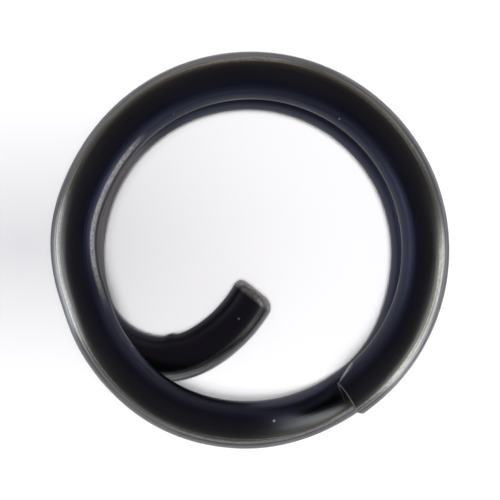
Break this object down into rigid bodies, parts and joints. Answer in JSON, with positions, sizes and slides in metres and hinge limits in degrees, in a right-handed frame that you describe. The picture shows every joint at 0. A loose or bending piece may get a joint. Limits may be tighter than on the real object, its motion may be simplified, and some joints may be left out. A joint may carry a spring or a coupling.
{
  "type": "split key ring",
  "caption": "Small split ring of round blackened spring wire: two close turns with a step between them, a blunt cut end, and a short curved tail bent into the ring.",
  "frame": {"origin": "centre of the ring on the plane that its lower turn rests on", "axes": "+Z along the ring's axis, from the lower turn to the upper turn; +X and +Y in the ring's plane, with the upper turn's cut end at 302.5 degrees from +X and the tail in the quarter between -X and -Y"},
  "size_m": [0.0161, 0.016, 0.0038],
  "materials": {
    "blackened_steel": "semi-gloss black oxide on hardened round spring wire, rubbed brighter along its outer side"
  },
  "bodies": {
    "tail_side": {"lower_turn_top_right": "blackened_steel", "lower_turn_top_left": "blackened_steel", "lower_turn_left": "blackened_steel", "tail_bend": "blackened_steel", "tail": "blackened_steel", "tail_tip": "blackened_steel"},
    "closed_side": {"upper_turn_left": "blackened_steel", "upper_turn_lower_left": "blackened_steel", "upper_turn_bottom": "blackened_steel", "crossover_step": "blackened_steel", "lower_turn_lower_right": "blackened_steel", "lower_turn_right": "blackened_steel"},
    "cut_end_side": {"upper_cut_end": "blackened_steel", "upper_turn_lower_right": "blackened_steel", "upper_turn_right": "blackened_steel", "upper_turn_top_right": "blackened_steel", "upper_turn_top_left": "blackened_steel"}
  },
  "joints": [
    {"name": "turns_spring_off_tail", "type": "hinge", "parent": "tail_side", "child": "closed_side", "pos_m": [0.00484, 0.00484, 0.00095], "axis": [-0.7071, 0.7071, 0], "range_deg": [0, 8.2], "stiffness_Nm_per_rad": 7.6},
    {"name": "cut_end_springs_up", "type": "hinge", "parent": "closed_side", "child": "cut_end_side", "pos_m": [-0.00499, 0.00499, 0.0029], "axis": [-0.7071, -0.7071, 0], "range_deg": [0, 8.2], "stiffness_Nm_per_rad": 8.3}
  ]
}
